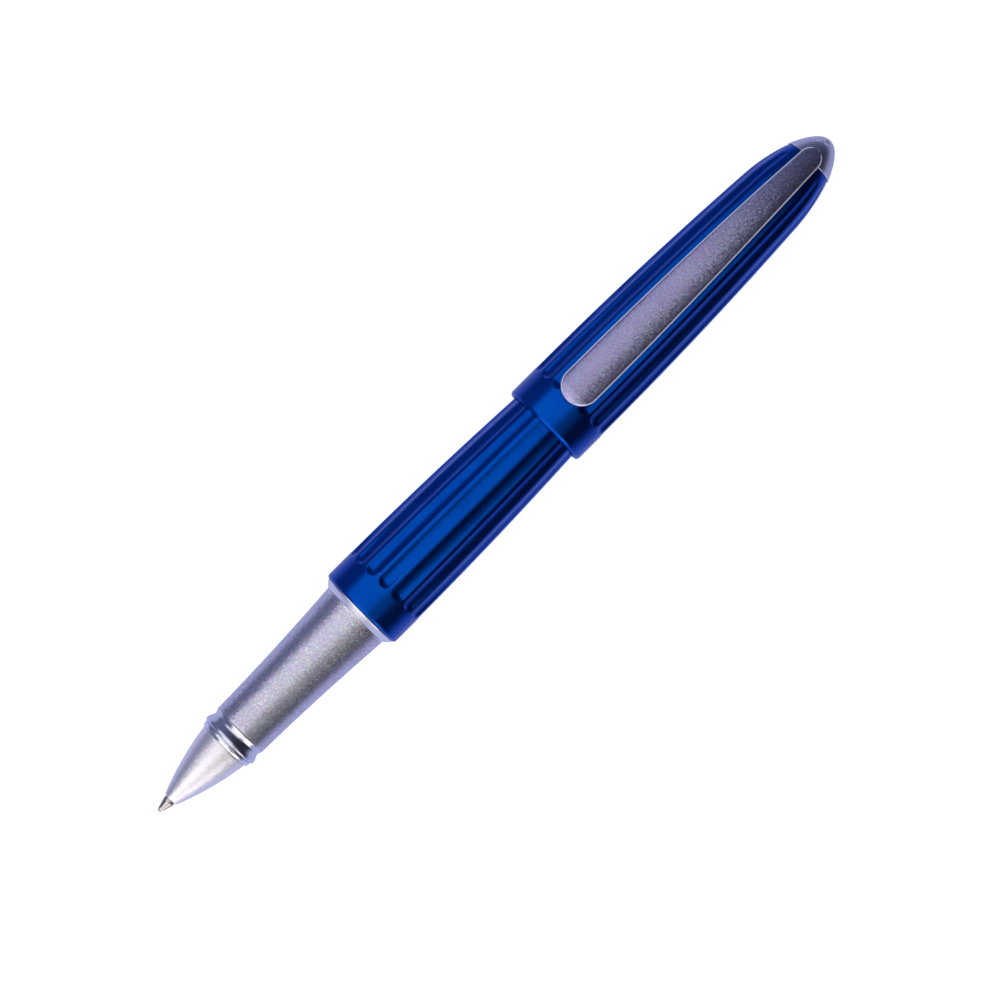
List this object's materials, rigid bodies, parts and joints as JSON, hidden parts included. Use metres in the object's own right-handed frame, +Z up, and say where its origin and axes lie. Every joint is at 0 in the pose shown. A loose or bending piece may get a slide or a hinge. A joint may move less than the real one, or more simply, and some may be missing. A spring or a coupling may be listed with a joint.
{
  "type": "rollerball pen",
  "caption": "Metal rollerball pen with a round-ended fluted barrel and cap, the cap posted on its tail, a strip clip and a tapered silver grip.",
  "frame": {"origin": "middle of the pen's length and width, on the plane that the pen lies on", "axes": "+X along the pen from the writing tip to the crown, +Z up through the clip"},
  "size_m": [0.1504, 0.015, 0.0172],
  "materials": {
    "blue_anodised": "satin blue anodised, with fine machining marks",
    "blasted_silver": "bead blasted silver",
    "satin_silver": "satin silver",
    "polished_chrome": "polished",
    "tip_steel": "turned nickel steel",
    "spring_steel": "bright spring steel",
    "ball_carbide": "ground carbide",
    "brass": "turned brass",
    "liner_plastic": "moulded black",
    "refill_plastic": "moulded light grey",
    "ink_felt": "bonded fibre soaked in ink",
    "dark_enamel": "plain dark enamel"
  },
  "bodies": {
    "barrel": {"barrel_shell": "blue_anodised", "barrel_thread_bush": "brass", "barrel_end_plug": "satin_silver", "refill_spring": "spring_steel"},
    "cap": {"cap_shell": "blue_anodised", "cap_liner": "liner_plastic", "clip_anchor": "brass", "lock_washer": "spring_steel", "crown_screw": "spring_steel", "crown": "satin_silver", "crown_inlay": "dark_enamel"},
    "clip": {"clip_blade": "blasted_silver"},
    "refill": {"refill_tube": "refill_plastic", "refill_feed": "refill_plastic", "refill_end_plug": "refill_plastic", "refill_tip": "tip_steel", "ink_feed_rod": "ink_felt", "ink_wick": "ink_felt"},
    "section": {"grip_sleeve": "blasted_silver", "section_core": "brass", "rear_trim_ring": "satin_silver", "snap_ring": "polished_chrome", "nose_cone": "satin_silver"},
    "ball": {"tip_ball": "ball_carbide"}
  },
  "joints": [
    {"name": "cap_pull", "type": "slide", "parent": "barrel", "child": "cap", "axis": [1, 0, 0], "range_m": [0, 0.04]},
    {"name": "clip_flex", "type": "hinge", "parent": "cap", "child": "clip", "pos_m": [0.0672, 0, 0.01149], "axis": [0, 1, 0], "range_deg": [0, 2.5], "stiffness_Nm_per_rad": 9},
    {"name": "refill_advance", "type": "slide", "parent": "barrel", "child": "refill", "axis": [-1, 0, 0], "range_m": [0, 0.0055], "deforming": ["refill_spring"]},
    {"name": "section_unscrew", "type": "hinge", "parent": "refill", "child": "section", "pos_m": [-0.045, 0, 0.00749], "axis": [-1, 0, 0], "range_deg": [0, 1980.01]},
    {"name": "ball_roll", "type": "hinge", "parent": "refill", "child": "ball", "pos_m": [-0.07485, 0, 0.00749], "axis": [0, 1, 0], "continuous": true}
  ],
  "couplings": [
    {"joint": "section_unscrew", "follows": "refill_advance", "rad_per_m": 6283.2}
  ]
}
